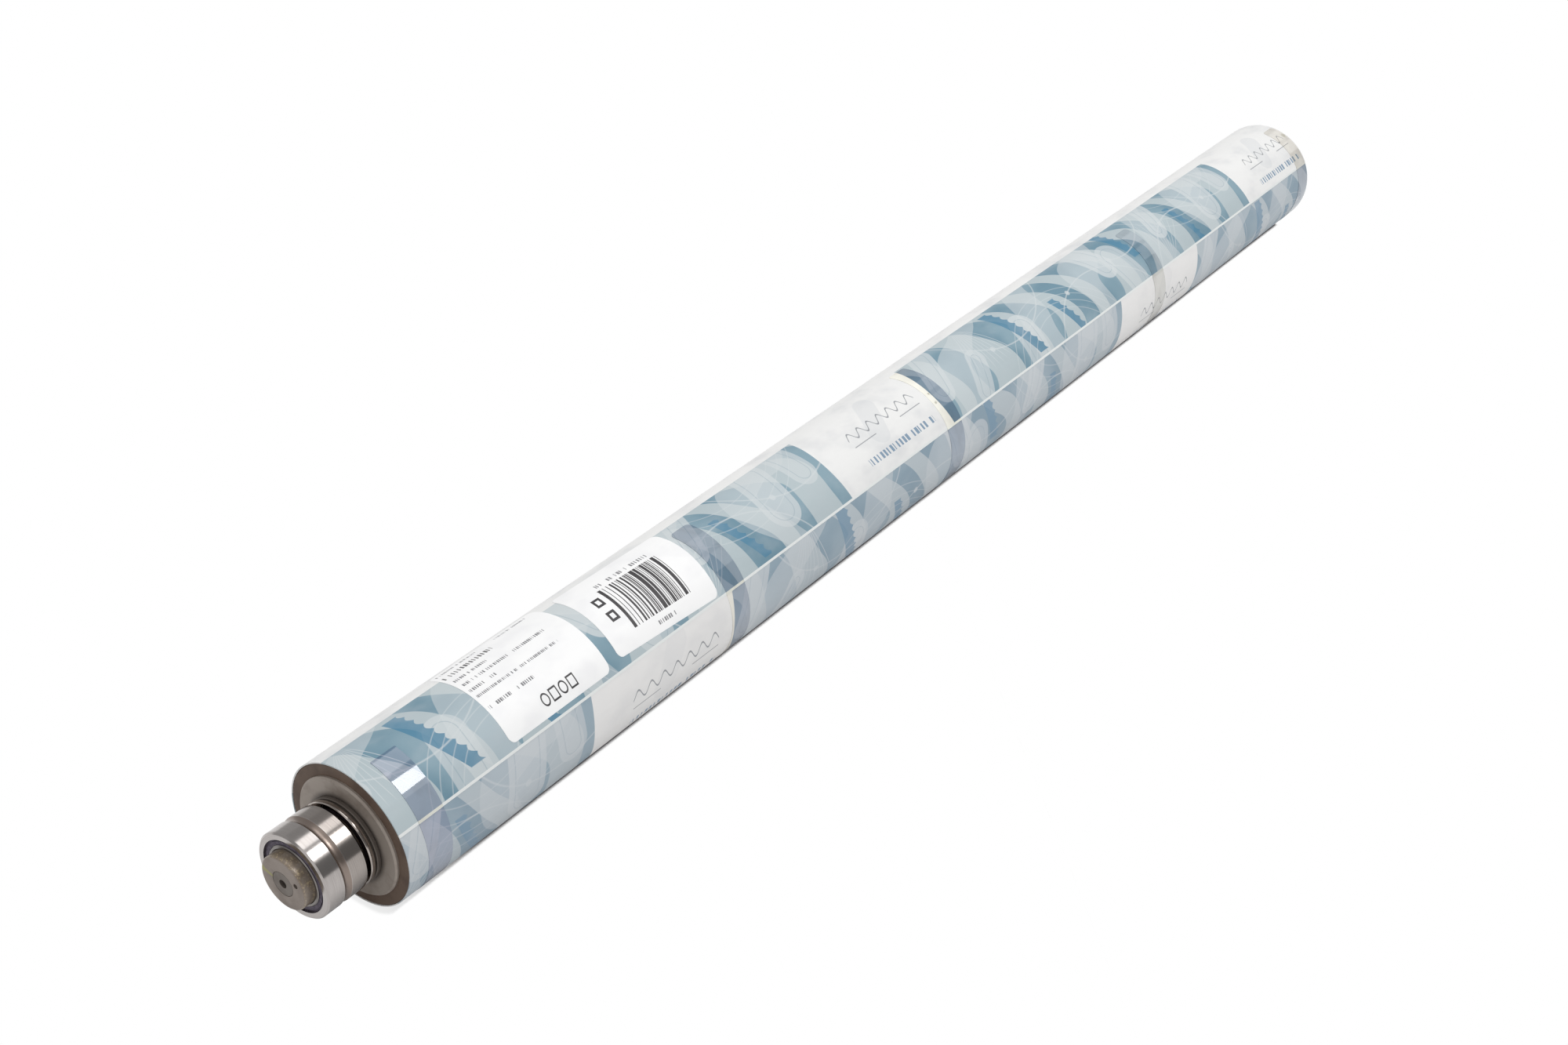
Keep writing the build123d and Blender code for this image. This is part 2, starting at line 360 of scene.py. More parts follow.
def round_bar(g, along, across, x, y, turn, length, radius):
    """Distance in mm from the edge of a round-ended bar, negative inside it."""
    c, s = math.cos(math.radians(turn)), math.sin(math.radians(turn))
    dx, dy = along - x, across - y
    reach = g.math("MINIMUM", g.math("MAXIMUM", dx * c + dy * s, -length / 2), length / 2)
    return g.length(dx - reach * c, dy - reach * s) - radius


def blades(g, colour, along, across, drift):
    """Broad blades that bow along the roller, in two crossing rows."""
    middle = across - BAND_HEIGHT / 2
    bow = middle * middle / BLADE_BOW
    place = along + across * BLADE_LEAN + bow + drift * BLADE_DRIFT
    blade = g.inside((place / BLADE_PITCH) % 1.0, *BLADE_SPAN, 0.006)
    colour = g.mix(colour, PALE_BLUE, blade * 0.85)
    place = along - across * COUNTER_LEAN - bow * COUNTER_BOW + drift * COUNTER_DRIFT
    counter = g.inside((place / COUNTER_PITCH) % 1.0, *COUNTER_SPAN, 0.004)
    return g.mix(colour, BRIGHT_BLUE, counter * 0.45)


def bars(g, colour, along, across):
    """Round-ended bars with an outline inside each, and scalloped bars."""
    for *shape, strength in ROUND_BARS:
        edge = round_bar(g, along, across, *shape)
        filled = g.smooth(edge, PRINT_SOFTNESS, -PRINT_SOFTNESS)
        colour = g.mix(colour, BRIGHT_BLUE, filled * strength)
        colour = g.mix(colour, DUSK_BLUE, g.line(edge + ROUND_BAR_INSET, 0.5, 0.3) * 0.35)

    wave = g.math("ABSOLUTE", g.math("SINE", across * (math.pi / SCALLOP_WIDTH)))
    scallop = wave * SCALLOP_DEPTH
    for centre, width, first, last in SCALLOPED_BARS:
        half = width / 2
        slanted = along - centre + across * SCALLOP_SLANT
        plain_side = g.smooth(slanted, -half, -half + PRINT_SOFTNESS)
        bar = plain_side * g.smooth(slanted + scallop, half, half - PRINT_SOFTNESS)
        length = g.inside(across, first, last, PRINT_SOFTNESS)
        colour = g.mix(colour, DEEP_TEAL, bar * length * 0.85)
    return colour


def fine_lines(g, colour, along, across):
    """Long arcs with discs at their feet, rings of arcs, and fans of lines."""
    for x, y, radius in LONG_ARCS:
        dx, dy = along - x, across - y
        arc = g.line(g.length(dx, dy) - radius, 0.9, 0.45)
        colour = g.mix(colour, BRIGHT_BLUE, arc * 0.6)
        downward = FOOT_SINE if y < 0 else -FOOT_SINE
        foot = g.length(dx + radius * FOOT_COSINE, dy - radius * downward)
        colour = g.mix(colour, BRIGHT_BLUE, g.smooth(foot, 2.4, 1.6) * 0.7)

    for x, y, first, last, pitch in ARC_RINGS:
        distance = g.length(along - x, across - y)
        ring = g.line(((distance - first) / pitch % 1.0 - 0.5) * pitch, 0.5, 0.35)
        colour = g.mix(colour, BRIGHT_BLUE, ring * g.inside(distance, first, last, 0.5) * 0.5)

    for x, y, first, last in FANS:
        dx, dy = along - x, across - y
        distance = g.length(dx, dy)
        heading = g.math("DEGREES", g.math("ARCTAN2", dy, dx))
        part = g.math("ABSOLUTE", (heading / FAN_PITCH) % 1.0 - 0.5)
        offset = part * distance * math.radians(FAN_PITCH)
        fan = g.smooth(offset, 0.4, 0.1) * g.inside(heading, first, last, 1.0)
        colour = g.mix(colour, BRIGHT_BLUE, fan * g.inside(distance, 7.0, 46.0, 4.0) * 0.6)
    return colour


def artwork(g, along, across):
    """A plain design of blades, round-ended bars, scalloped bars, arcs and fans of fine lines."""
    point = g.vector(along, across)
    drift = g.noise(point, 0.011, 1.0)
    shade = g.noise(point, 0.018, 2.0)
    colour = g.mix(MID_BLUE, DUSK_BLUE, g.smooth(shade, 0.44, 0.6))
    colour = blades(g, colour, along, across, drift)
    colour = bars(g, colour, along, across)
    return fine_lines(g, colour, along, across)


def marks_row(g, along, across, start, end, centre, height, cell, seed):
    """A row of small plain marks of uneven width. cell is the room for each in mm."""
    index = (along + seed * 37.0) / cell
    part = index % 1.0
    width = g.random(index) * 0.55 + 0.2
    there = g.math("GREATER_THAN", g.random(index + 500.0), 0.16)
    mark = g.smooth(part, 0.12, 0.2) * g.math("LESS_THAN", part, width + 0.2) * there
    in_row = g.inside(along, start, end, 0.1)
    return mark * in_row * g.inside(across, centre - height / 2, centre + height / 2, 0.12)


def panel_marks(g, colour, along, across, panel):
    """A plain wavy line, a thin rule and a row of uneven blue marks on a white panel."""
    wave = g.math("SINE", along * (2 * math.pi / WAVE_LENGTH)) * WAVE_HEIGHT
    row = g.inside(along, *PANEL_ROW, 0.3) * panel
    curve = g.line(across - WAVE_CENTRE - wave, WAVE_WIDTH, 0.25)
    colour = g.mix(colour, MARK_GREY, curve * row * 0.85)
    rule = g.line(across - RULE_CENTRE, RULE_WIDTH, 0.2) * (1.0 - g.inside(along, *RULE_BREAK, 0.3))
    colour = g.mix(colour, MARK_GREY, rule * row * 0.8)
    marks = marks_row(g, along, across, *PANEL_ROW, **PANEL_MARKS)
    return g.mix(colour, MARK_BLUE, marks * panel * 0.8)


def wrap_colour(g, station, angle):
    """The sheet's colour at a point, with painted shade on its lower side, and the mask for the
    blue print.
    """
    sheet = sheet_layout(g, station, angle)
    haze = g.noise(g.vector(station, angle), 0.03, 3.0, 0.6)
    paper = g.mix(PAPER_WHITE, PAPER_CLOUD, g.smooth(haze, 0.4, 0.75))
    ghost = round_bar(g, sheet.along, sheet.across, *GHOST_BAR)
    paper = g.mix(paper, PAPER_GHOST, g.smooth(ghost, 0.5, -0.5) * sheet.panel * 0.5)
    colour = g.mix(paper, artwork(g, sheet.along, sheet.across), sheet.printed)
    colour = g.mix(colour, HAZE_BLUE, g.smooth(haze, 0.45, 0.8) * 0.25)
    # Painted shade: below the sheet's edge on the front, down to the bottom, the print is greyer
    # and lilac and bare paper darker
    colour = g.mix(colour, LOWER_SHADE_LILAC, sheet.lower * sheet.printed * 0.3)
    colour = g.mix(colour, LOWER_SHADE_PAPER, sheet.lower * (1.0 - sheet.printed) * 0.5)
    colour = panel_marks(g, colour, sheet.along, sheet.across, sheet.panel * sheet.in_band)
    return g.mix(colour, EDGE_WHITE, sheet.near_edge), sheet.printed


def wrap_material():
    g = Graph("printed_wrap")
    station, angle, _ = g.roller()
    colour, _ = wrap_colour(g, station, angle)
    wave = g.noise(g.vector(station * 0.25, angle), 0.09, 2.0)
    return g.finish(
        Base_Color=colour,
        Roughness=0.5,
        IOR=1.4,
        Normal=g.bump(wave, 0.0006, 0.5),
    )


# Tapes: each one's tint over white paper, its tint over the print, and its spots as station, angle
# and radius in mm

TAPE_LOOKS = {
    "tape_strip_1": ((0.95, 0.93, 0.85, 1), (0.63, 0.65, 0.76, 1), ()),
    "tape_strip_2": ((0.95, 0.93, 0.85, 1), (0.57, 0.61, 0.69, 1), ()),
    "tape_strip_3": (
        (1.14, 1.12, 1.02, 1), (0.51, 0.57, 0.66, 1), ((479.4, 27.7, 1.2), (478.8, 38.1, 1.4))
    ),
    "tape_strip_4": ((0.76, 0.76, 0.73, 1), (0.78, 0.80, 0.84, 1), ()),
    "tape_strip_5": ((0.87, 0.84, 0.78, 1), (0.62, 0.64, 0.70, 1), ((1014.6, 23.0, 3.4),)),
}
TAPE_CLOUD = (0.88, 0.87, 0.86, 1)
SPOT_BROWN = srgb(150, 144, 118)


def tape_material(name, seed, over_white, over_print, spots):
    """Clear aged tape: the sheet's print shows through it, bluer over the print and creamy over
    white, and it shines."""
    g = Graph(name)
    station, angle, _ = g.roller()
    under, printed = wrap_colour(g, station, angle)
    colour = g.tint(under, g.mix(over_white, over_print, printed))
    cloud = g.noise(g.vector(station + seed * 50.0, angle * 0.4), 0.09, 3.0)
    colour = g.tint(colour, TAPE_CLOUD, g.smooth(cloud, 0.45, 0.75))
    ragged = g.noise(g.vector(station, angle), 0.9, 2.0)
    for spot_station, spot_angle, size in spots:
        dx = station - spot_station
        dy = (angle - spot_angle) * MM_PER_DEGREE
        reach = g.length(dx, dy) + (ragged - 0.5) * size
        colour = g.mix(colour, SPOT_BROWN, g.smooth(reach, size, size * 0.3) * 0.6)
    return g.finish(
        Base_Color=colour,
        Roughness=0.4,
        IOR=1.1,
        Coat_Weight=1.0,
        Coat_Roughness=0.05,
        Coat_IOR=1.7,
    )


# Labels, in mm from each label's own corner or centre

INK = srgb(62, 60, 62)
GREY_INK = srgb(106, 106, 110)
LABEL_WHITE = srgb(249, 249, 249)
LABEL_CLOUD = srgb(243, 243, 244)
LABEL_GLOSS = dict(Roughness=0.42, IOR=1.45)

SIZE_LABEL_START = 78.5

# Rows of marks: start, end, centre, height, room for each mark, and ink
SIZE_LABEL_ROWS = (
    (2.0, 31.0, -19.0, 2.0, 1.3, GREY_INK),
    (43.0, 68.0, -19.0, 2.0, 1.3, GREY_INK),
    (2.0, 36.0, -12.0, 3.4, 2.1, INK),
    (2.0, 26.0, -5.0, 2.0, 1.4, GREY_INK),
    (2.0, 62.0, 0.8, 2.0, 1.3, GREY_INK),
    (2.0, 21.0, 6.4, 2.0, 1.4, GREY_INK),
    (2.0, 61.0, 11.5, 1.7, 1.1, GREY_INK),
    (2.0, 34.0, 20.0, 2.1, 1.4, GREY_INK),
)

# Four plain outlines in a row, round and square in turn
OUTLINES = 4
OUTLINE_START, OUTLINE_PITCH, OUTLINE_CENTRE = 31.0, 6.6, 33.2
OUTLINE_SQUASH, OUTLINE_RADIUS, OUTLINE_WIDTH = 0.72, 2.3, 0.75

BARCODE_LABEL_CENTRE = (204.0, 18.5)
BARCODE_LABEL_TILT = -2.5

# The block of bars: its extent along and down, and the widths that its bars are drawn from
BAR_BLOCK = ((-22.0, 24.0), (-11.8, 18.3))
BAR_COARSE, BAR_FINE = 1.37, 0.46

# Two bold hollow blocks beside it: their extent along, each one's extent down, and their stroke
BOLD_ALONG = (-30.5, -24.5)
BOLD_DOWN = ((-8.0, -1.5), (3.0, 9.5))
BOLD_STROKE = 1.6

# Rows of marks above and below the bars
BARCODE_ROWS = (
    dict(start=-19.0, end=21.0, centre=-15.5, height=2.8, cell=2.0, seed=20),
    dict(start=-6.0, end=9.0, centre=23.0, height=2.4, cell=1.6, seed=31),
)


def label_paper(g, station, angle):
    haze = g.noise(g.vector(station, angle), 0.05, 2.0)
    return g.mix(LABEL_WHITE, LABEL_CLOUD, g.smooth(haze, 0.4, 0.7))


def size_label_material():
    """White label with rows of plain marks and four plain outlines."""
    g = Graph("size_label")
    station, angle, _ = g.roller()
    along = station - SIZE_LABEL_START
    down = angle * MM_PER_DEGREE
    colour = label_paper(g, station, angle)
    for seed, (*row, ink) in enumerate(SIZE_LABEL_ROWS):
        colour = g.mix(colour, ink, marks_row(g, along, down, *row, seed) * 0.9)
    for number in range(OUTLINES):
        x = along - (OUTLINE_START + OUTLINE_PITCH * number)
        y = (down - OUTLINE_CENTRE) * OUTLINE_SQUASH
        if number % 2:
            reach = g.math("MAXIMUM", g.math("ABSOLUTE", x), g.math("ABSOLUTE", y))
        else:
            reach = g.length(x, y)
        colour = g.mix(colour, INK, g.line(reach - OUTLINE_RADIUS, OUTLINE_WIDTH, 0.12))
    return g.finish(Base_Color=colour, **LABEL_GLOSS)


def barcode_label_material():
    """White label with a block of plain bars, two bold blocks and rows of plain marks."""
    g = Graph("barcode_label")
    station, angle, _ = g.roller()
    turn = math.radians(BARCODE_LABEL_TILT)
    x = station - BARCODE_LABEL_CENTRE[0]
    y = (angle - BARCODE_LABEL_CENTRE[1]) * MM_PER_DEGREE
    along = x * math.cos(turn) - y * math.sin(turn)
    down = x * math.sin(turn) + y * math.cos(turn)
    colour = label_paper(g, station, angle)
    coarse = g.random((along + 100.0) / BAR_COARSE)
    fine = g.random((along + 100.0) / BAR_FINE)
    barred = g.math("GREATER_THAN", coarse * 0.3 + fine * 0.7, 0.5)
    block = g.inside(along, *BAR_BLOCK[0], 0.05) * g.inside(down, *BAR_BLOCK[1], 0.1)
    colour = g.mix(colour, INK, barred * block)
    left, right = BOLD_ALONG
    for low, high in BOLD_DOWN:
        bold = g.inside(along, left, right, 0.15) * g.inside(down, low, high, 0.15)
        hollow_along = g.inside(along, left + BOLD_STROKE, right - BOLD_STROKE, 0.15)
        hollow = hollow_along * g.inside(down, low + BOLD_STROKE, high - BOLD_STROKE, 0.15)
        colour = g.mix(colour, INK, bold * (1.0 - hollow))
    for row in BARCODE_ROWS:
        colour = g.mix(colour, GREY_INK, marks_row(g, along, down, **row) * 0.85)
    return g.finish(Base_Color=colour, **LABEL_GLOSS)


# Steel, rubber and plastic

TURNED_LIGHT, TURNED_DARK = srgb(158, 148, 139), srgb(136, 125, 116)
TIP_FACE_TINT = (0.8, 0.78, 0.78, 1)
# Painted shade for the near hub's root, beside the shoulder ring
ROOT_SHADE = srgb(70, 62, 56)
RESIDUE_DARK, RESIDUE_LIGHT = srgb(126, 111, 94), srgb(194, 176, 138)
OLD_PAINT = srgb(158, 158, 84)
GROUND_LIGHT, GROUND_DARK = srgb(180, 175, 172), srgb(166, 160, 157)
BACK_LAND_TINT = (0.8, 0.775, 0.75, 1)
GROOVE_BROWN = srgb(146, 133, 125)
MIRROR_LIGHT, MIRROR_DARK = srgb(180, 172, 166), srgb(150, 141, 135)
PLASTIC_LIGHT, PLASTIC_DARK = srgb(148, 140, 122), srgb(130, 122, 104)

TURNED_ROUGHNESS = 0.52

# On the near journal, in mm: how far outward its tip's face and side begin, the side's radius, the
# radii of the hub's root, where shade is painted, and the streak's degrees from the top towards the
# back, radii and start
TIP_FACE = (41.4, 41.9)
TIP_SIDE = (35.8, 36.2)
TIP_SIDE_RADIUS = (14.2, 14.8)
HUB_ROOT = (20.0, 25.2)
STREAK_BACK = 76.0
STREAK_RADII = (4.5, 15.4)
STREAK_START = (40.9, 41.6)

# The near bearing's groove: its stations, and the radii between which its floor begins
GROOVE_STATIONS = (-25.7, -20.9)
GROOVE_RADII = (23.98, 23.9)


def tip_wear_and_shade(g, colour, point, station, angle, radius):
    """The near journal's darker tip face, painted shade at its hub's root, brown residue round the
    tip and a streak of old paint on its face. Gives the colour and the roughness."""
    outward = station * -1.0
    colour = g.tint(colour, TIP_FACE_TINT, g.smooth(outward, *TIP_FACE))
    # Painted shade: the hub's root is darkened where shade falls between the head and the shoulder
    # ring
    root = g.inside(radius, *HUB_ROOT, 1.8)
    colour = g.mix(colour, ROOT_SHADE, root * 0.8)
    side = g.smooth(outward, *TIP_SIDE) * g.smooth(radius, *TIP_SIDE_RADIUS)
    grime = g.noise(point, 900.0, 6.0, 0.7)
    patch = g.smooth(g.noise(point, 150.0, 3.0), 0.35, 0.6)
    residue = g.mix(RESIDUE_DARK, RESIDUE_LIGHT, g.smooth(grime, 0.5, 0.64))
    colour = g.mix(colour, residue, side * (patch * 0.6 + 0.25))
    wander = g.noise(point, 300.0, 3.0)
    wedge = g.line(angle + STREAK_BACK + (wander - 0.5) * 14.0, 11.0, 1.5)
    streak = wedge * g.inside(radius, *STREAK_RADII, 0.5) * g.smooth(outward, *STREAK_START)
    colour = g.mix(colour, OLD_PAINT, streak * 0.6)
    return colour, TURNED_ROUGHNESS - side * 0.18


def turned_steel(name, near_tip=False, shade=1.0):
    """Grey-taupe turned steel of the core, journals and plug; where it is the near tip, worn and
    with painted shade at its hub's root.
    """
    g = Graph(name)
    station, angle, radius = g.roller()
    point = g.vector(*g.position())
    stain = g.noise(point, 60.0, 4.0, 0.6)
    colour = g.mix(TURNED_LIGHT, TURNED_DARK, g.smooth(stain, 0.4, 0.7))
    colour = g.tint(colour, grey(shade))
    rough = TURNED_ROUGHNESS
    if near_tip:
        colour, rough = tip_wear_and_shade(g, colour, point, station, angle, radius)
    lines = g.math("SINE", radius * 9.0) * 0.4 + g.noise(point, 900.0, 2.0)
    return g.finish(
        Base_Color=colour,
        Metallic=0.35,
        Roughness=rough,
        Normal=g.bump(lines, 0.00002, 0.4),
    )


def ground_steel(name, roughness, grooved=False, shade=1.0):
    """Polished bearing steel, with fine lines round it. The near ring's groove is matt and darker,
    and the land behind it is tinted darker."""
    g = Graph(name)
    station, angle, radius = g.roller()
    lines = g.noise(g.vector(station * 9.0, angle * 0.02, radius * 9.0), 1.0, 3.0)
    colour = g.mix(GROUND_LIGHT, GROUND_DARK, g.smooth(lines, 0.35, 0.7))
    colour = g.tint(colour, grey(shade))
    rough = roughness + (lines - 0.5) * 0.09
    if grooved:
        groove_start, groove_end = GROOVE_STATIONS
        # The land behind the groove is tinted darker
        inner_land = g.smooth(station, groove_end, groove_end + 0.3)
        colour = g.tint(colour, BACK_LAND_TINT, inner_land)
        in_groove = g.inside(station, groove_start, groove_end, 0.15)
        matt = in_groove * g.smooth(radius, *GROOVE_RADII)
        colour = g.mix(colour, GROOVE_BROWN, matt)
        rough = rough + matt * 0.15
    return g.finish(
        Base_Color=colour,
        Metallic=1.0,
        Roughness=rough,
        Normal=g.bump(lines, 0.00001, 0.2),
    )


def mirror_steel(name):
    """Dark polished steel of the shoulder rings."""
    g = Graph(name)
    station, angle, radius = g.roller()
    smear = g.noise(g.vector(station * 2.0, angle * 0.06, radius * 2.0), 1.0, 3.0)
    return g.finish(
        Base_Color=g.mix(MIRROR_LIGHT, MIRROR_DARK, g.smooth(smear, 0.35, 0.65)),
        Metallic=1.0,
        Roughness=0.13,
        Normal=g.bump(smear, 0.00001, 0.3),
    )


def rubber(name, first, second, scale):
    g = Graph(name)
    point = g.vector(*g.position())
    cloud = g.noise(point, scale, 3.0)
    grain = g.noise(point, scale * 18.0, 2.0)
    return g.finish(
        Base_Color=g.mix(first, second, g.smooth(cloud, 0.38, 0.68)),
        Roughness=0.62,
        IOR=1.36,
        Normal=g.bump(grain, 0.00008, 0.5),
    )


def cage_plastic():
    g = Graph("cage_plastic")
    grain = g.noise(g.vector(*g.position()), 700.0, 3.0)
    return g.finish(Base_Color=g.mix(PLASTIC_LIGHT, PLASTIC_DARK, grain), Roughness=0.5)


# Meshes

TURNED_SIDES = 180
SHARP_EDGE = math.radians(35)
CORNER_TURNS = [math.radians(15 * i) for i in range(7)]

WRAP_ANGLE_STEP = 1.5
WRAP_LENGTHS = 160
WRAP_INNER_GAP = 0.01 * MM

COVER_EDGE = 0.8 * MM
COVER_LIP = 4.0 * MM
HEAD_RADIUS = 33.5 * MM
CORE_RADIUS = 35.5 * MM

RING_EDGE = 0.75 * MM
RING_BORE = 16.8 * MM


def ring_point(x, radius, angle):
    turn = math.radians(angle)
    return (x, -radius * math.sin(turn), radius * math.cos(turn))


def ring_faces(rings, count):
    """Quads from each ring of count points to the next, and from the last ring to the first."""
    faces = []
    for ring in range(rings):
        here, after = ring * count, (ring + 1) % rings * count
        for i in range(count):
            j = (i + 1) % count
            faces.append((here + i, after + i, after + j, here + j))
    return faces


def make_piece(name, vertices, faces, material, body, replaced):
    mesh = bpy.data.meshes.new(name)
    mesh.from_pydata(vertices, [], faces)
    mesh.shade_smooth()
    mesh.set_sharp_from_angle(angle=SHARP_EDGE)
    mesh.materials.append(material)
    made = bpy.data.objects.new(name, mesh)
    bpy.context.scene.collection.objects.link(made)
    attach(made, body)
    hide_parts(replaced)
    return made


def make_turned(name, profile, material, replaced):
    """A piece turned about the axis from a closed outline of stations and radii in metres."""
    angles = [FULL_TURN * i / TURNED_SIDES for i in range(TURNED_SIDES)]
    vertices = [ring_point(x, radius, angle) for x, radius in profile for angle in angles]
    faces = ring_faces(len(profile), TURNED_SIDES)
    return make_piece(name, vertices, faces, material, "roller", replaced)


def near_corner(x, radius, edge):
    """A round corner of an outline between its near end and its outside."""
    return [
        (x + edge - edge * math.cos(t), radius - edge + edge * math.sin(t)) for t in CORNER_TURNS
    ]


def far_corner(x, radius, edge):
    """A round corner of an outline between its outside and its far end."""
    return [
        (x - edge + edge * math.sin(t), radius - edge + edge * math.cos(t)) for t in CORNER_TURNS
    ]


def sheet_radius(angle):
    """Outer radius of the wound sheet at an angle, in metres."""
    past_layer = (SEAM_ANGLE - UPPER_LAYER_ANGLE - angle) / (FULL_TURN - UPPER_LAYER_ANGLE)
    return UPPER_RADIUS - SHEET_THICKNESS * max(0.0, past_layer)


def paper_wave(x, angle):
    """A slight unevenness of the paper, in metres."""
    turn = math.radians(angle)
    slow = math.sin(x * 23.0 + 2.0 * math.sin(turn * 2.0)) * math.sin(turn * 3.0 + x * 7.0)
    return 0.05 * MM * slow


def wound_wrap(material):
    """The wound sheet, finer than its solid. Its outer face has a doubled angle at the edge, where
    it steps down one sheet."""
    turns = int(FULL_TURN / WRAP_ANGLE_STEP)
    angles = [SEAM_ANGLE - WRAP_ANGLE_STEP * i for i in range(turns + 1)]
    length = FAR_FACE - NEAR_FACE
    stations = [NEAR_FACE + length * i / WRAP_LENGTHS for i in range(WRAP_LENGTHS + 1)]
    inner_radius = COVER_RADIUS + WRAP_INNER_GAP
    vertices = [ring_point(NEAR_FACE, inner_radius, a) for a in angles]
    for x in stations:
        vertices += [ring_point(x, sheet_radius(a) + paper_wave(x, a), a) for a in angles]
    vertices += [ring_point(FAR_FACE, inner_radius, a) for a in angles]
    faces = ring_faces(len(stations) + 2, len(angles))
    return make_piece("paper_wrap", vertices, faces, material, "roller", "printed_wrap")


def fine_cover(material):
    """The rubber cover with more sides than its solid. Its lip stands over the core's end."""
    profile = [
        (NEAR_FACE + COVER_LIP, CORE_RADIUS),
        (NEAR_FACE + COVER_LIP, HEAD_RADIUS),
        (NEAR_FACE, HEAD_RADIUS),
        *near_corner(NEAR_FACE, COVER_RADIUS, COVER_EDGE),
        *far_corner(FAR_FACE, COVER_RADIUS, COVER_EDGE),
        (FAR_FACE, HEAD_RADIUS),
        (FAR_FACE - COVER_LIP, HEAD_RADIUS),
        (FAR_FACE - COVER_LIP, CORE_RADIUS),
    ]
    return make_turned("rubber_sleeve", profile, material, "rubber_cover")


def fine_ring(material):
    """The near shoulder ring with round edges."""
    low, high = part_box("near_shoulder_ring")
    profile = [
        (low.x, RING_BORE),
        *near_corner(low.x, high.z, RING_EDGE),
        *far_corner(high.x, high.z, RING_EDGE),
        (high.x, RING_BORE),
    ]
    return make_turned("round_shoulder_ring", profile, material, "near_shoulder_ring")


def paint(name, material):
    """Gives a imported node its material."""
    slots = nodes[name].data.materials
    slots.clear()
    slots.append(material)


cover_rubber = rubber("cover_rubber", srgb(102, 85, 73), srgb(87, 71, 61), 90.0)
seal_rubber = rubber("seal_rubber", srgb(98, 90, 104), srgb(74, 68, 80), 500.0)
ring_steel = ground_steel("ring_steel", 0.19)
inner_steel = ground_steel("inner_ring_steel", 0.3, shade=0.5)
bright_steel = mirror_steel("shoulder_ring_steel")
grooved_steel = ground_steel("grooved_ring_steel", 0.17, grooved=True)
plastic = cage_plastic()

wound_wrap(wrap_material())
fine_cover(cover_rubber)
fine_ring(bright_steel)
paint("core_tube", turned_steel("core_tube_steel"))
paint("near_journal", turned_steel("near_journal_steel", near_tip=True))
paint("far_journal", turned_steel("far_journal_steel"))
paint("near_centre_plug", turned_steel("plug_steel", shade=0.52))
paint("far_shoulder_ring", bright_steel)
for end, outer_steel in (("near", grooved_steel), ("far", ring_steel)):
    paint(f"{end}_bearing_outer_ring", outer_steel)
    paint(f"{end}_bearing_inner_ring", inner_steel)
    paint(f"{end}_bearing_needles", ring_steel)
    paint(f"{end}_bearing_cage", plastic)
    paint(f"{end}_bearing_front_seal", seal_rubber)
    paint(f"{end}_bearing_back_seal", seal_rubber)
paint("size_label", size_label_material())
paint("barcode_label", barcode_label_material())
for seed, (name, look) in enumerate(TAPE_LOOKS.items()):
    paint(name, tape_material(name, seed, *look))


# Stage, lamps and camera

ROOM_LIGHT = 0.72
FLOOR_REACH = 8.0
FLOOR_PALE = (0.8, 0.8, 0.8, 1)

# The contact shadow on the floor: how near a surface has to be, and the open shares at which the
# shadow is full and gone. It fades from one x to the other, towards the near end.
CONTACT_DARK = srgb(32, 28, 32)
CONTACT = dict(reach=0.006, full=0.58, gone=0.84, samples=16)
CONTACT_FADE = (NEAR_FACE + 0.08, NEAR_FACE - 0.01)
CONTACT_FADED_SHARE = 0.85

# The wider and softer shade that reflections see there
SHADE_DARK = srgb(70, 66, 66)
SHADE = dict(reach=0.05, full=0.1, gone=0.95, samples=4)

# Long grey cards that only reflections show: first and last angle, and brightness
CARD_DISTANCE = 2.1
CARD_ENDS = (-4.0, 5.0)
CARDS = {
    "front_card": (47.0, 88.0, 0.22),
    "upper_card": (9.0, 18.0, 0.5),
    "back_card_high": (-50.0, -20.0, 0.42),
    "back_card_low": (-88.0, -50.0, 0.5),
}

# Lamps: place, aim, size, power in watts, and whether reflections show them
LAMPS = {
    "key": ((0.46, -0.89, 1.57), (-0.45, 0.0, 0.0), (0.56, 0.56), 9.0, True),
    "soft_top": ((0.58, 0.2, 2.24), (-0.5, 0.0, 0.0), (1.0, 1.1), 4.4, True),
    "rear_fill": ((0.25, 1.6, 1.5), (0.1, 0.0, 0.0), (1.2, 1.2), 5.6, False),
}

# The camera, as fitted to the outline of the roller in the photograph
CAMERA_PLACE = (-0.95324, -0.59743, 0.64149)
CAMERA_RIGHT = (0.59509, -0.80366, 0.0)
CAMERA_UP = (0.4337, 0.3211, 0.8419)
SENSOR_WIDTH, LENS = 36.0, 45.37


def background_share(tree):
    """1 for camera, glossy and transmission rays, which see the white background."""
    path = tree.nodes.new("ShaderNodeLightPath")
    share = path.outputs["Is Camera Ray"]
    for ray in ("Is Glossy Ray", "Is Transmission Ray"):
        either = tree.nodes.new("ShaderNodeMath")
        either.operation = "MAXIMUM"
        tree.links.new(share, either.inputs[0])
        tree.links.new(path.outputs[ray], either.inputs[1])
        share = either.outputs[0]
    return share


def make_stage(name, corners, material):
    mesh = bpy.data.meshes.new(name)
    mesh.from_pydata(corners, [], [(0, 1, 2, 3)])
    mesh.materials.append(material)
    made = bpy.data.objects.new(name, mesh)
    bpy.context.scene.collection.objects.link(made)
    return made


def open_share(g, reach, full, gone, samples):
    """0 where surfaces close in on the floor within reach and 1 where it lies open."""
    closeness = g.node("ShaderNodeAmbientOcclusion", {"Distance": reach}, samples=samples)
    return g.smooth(Field(g, closeness.outputs["AO"]), full, gone)


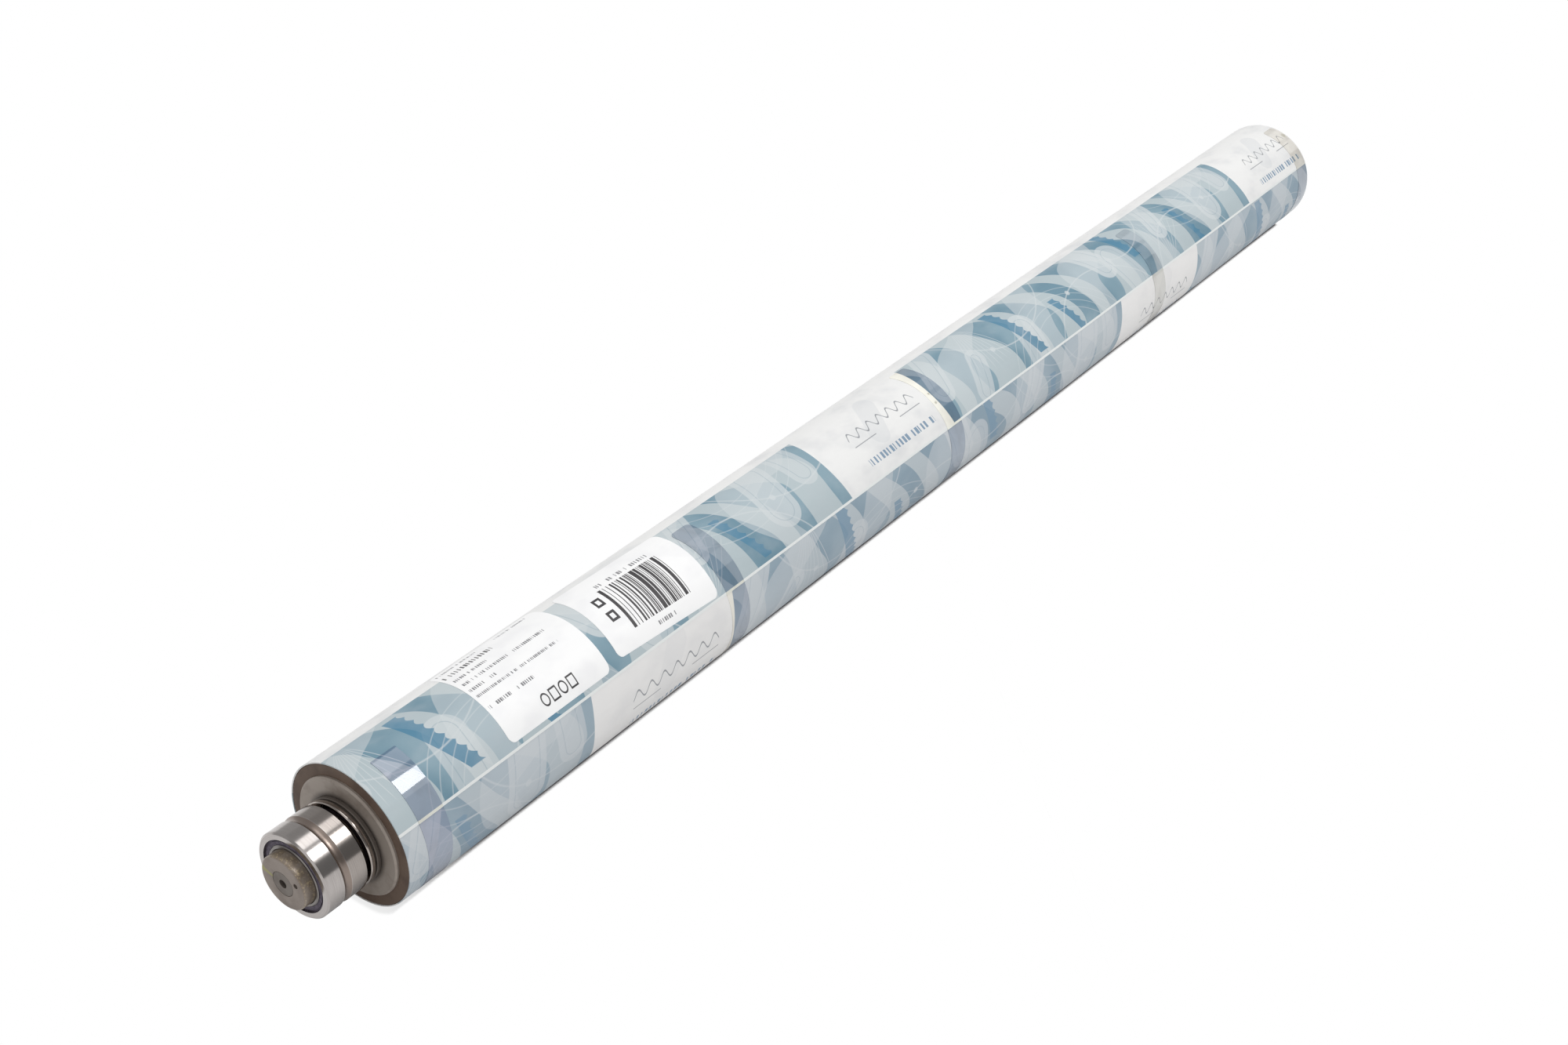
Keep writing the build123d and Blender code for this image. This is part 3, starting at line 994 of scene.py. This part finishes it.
def make_floor():
    """A pale floor, which shows white but for a thin contact shadow."""
    g = Graph("floor")
    x, _, _ = g.position()
    in_open = open_share(g, **CONTACT)
    faded = g.smooth(x, *CONTACT_FADE) * CONTACT_FADED_SHARE
    contact = g.mix(CONTACT_DARK, WHITE, g.math("MAXIMUM", in_open, faded))
    shade = g.mix(SHADE_DARK, WHITE, open_share(g, **SHADE))
    camera_share = g.node("ShaderNodeLightPath").outputs["Is Camera Ray"]
    seen = g.emission(g.mix(shade, contact, camera_share))
    pale = g.node("ShaderNodeBsdfDiffuse", {"Color": FLOOR_PALE}).outputs[0]
    background = background_share(g.tree)
    mixed = g.node("ShaderNodeMixShader", {0: background, 1: pale, 2: seen})
    far = FLOOR_REACH
    square = ((-far, -far), (far, -far), (far, far), (-far, far))
    corners = [(x, y, FLOOR_HEIGHT) for x, y in square]
    make_stage("floor", corners, g.surface(mixed.outputs[0]))


def make_card(name, first, last, brightness):
    """A long grey studio card beside the roller, between two angles from the top."""
    g = Graph(name)
    material = g.surface(g.emission(WHITE, brightness))
    low, high = CARD_ENDS
    outline = ((low, first), (high, first), (high, last), (low, last))
    corners = [ring_point(x, CARD_DISTANCE, angle) for x, angle in outline]
    card = make_stage(name, corners, material)
    card.visible_camera = False
    card.visible_diffuse = False
    card.visible_transmission = False
    card.visible_shadow = False


def make_world():
    """A plain white room, a little dimmer as a light than as a background."""
    world = bpy.data.worlds.new("studio")
    bpy.context.scene.world = world
    world.use_nodes = True
    tree = world.node_tree
    tree.nodes.clear()
    output = tree.nodes.new("ShaderNodeOutputWorld")
    background = tree.nodes.new("ShaderNodeBackground")
    strength = tree.nodes.new("ShaderNodeMapRange")
    strength.inputs["To Min"].default_value = ROOM_LIGHT
    strength.inputs["To Max"].default_value = 1.0
    tree.links.new(background_share(tree), strength.inputs["Value"])
    tree.links.new(strength.outputs[0], background.inputs["Strength"])
    tree.links.new(background.outputs[0], output.inputs["Surface"])
    background.inputs["Color"].default_value = WHITE


def make_lamp(name, place, aim, size, power, in_reflections):
    light = bpy.data.lights.new(name, "AREA")
    light.shape = "RECTANGLE"
    light.size, light.size_y = size
    light.energy = power
    lamp = bpy.data.objects.new(name, light)
    lamp.location = place
    lamp.rotation_euler = (Vector(aim) - Vector(place)).to_track_quat("-Z", "Y").to_euler()
    lamp.visible_glossy = in_reflections
    bpy.context.scene.collection.objects.link(lamp)


def make_camera():
    """The photograph's view."""
    right = Vector(CAMERA_RIGHT)
    right.normalize()
    forward = Vector(CAMERA_UP).cross(right).normalized()
    up = right.cross(forward)
    data = bpy.data.cameras.new("camera")
    data.sensor_fit = "HORIZONTAL"
    data.sensor_width = SENSOR_WIDTH
    data.lens = LENS
    camera = bpy.data.objects.new("camera", data)
    turn = Matrix((right, up, -forward)).transposed().to_4x4()
    camera.matrix_world = Matrix.Translation(CAMERA_PLACE) @ turn
    bpy.context.scene.collection.objects.link(camera)
    bpy.context.scene.camera = camera


make_floor()
make_world()
for name, card in CARDS.items():
    make_card(name, *card)
for name, lamp in LAMPS.items():
    make_lamp(name, *lamp)
make_camera()
bpy.context.scene.view_settings.view_transform = "Standard"
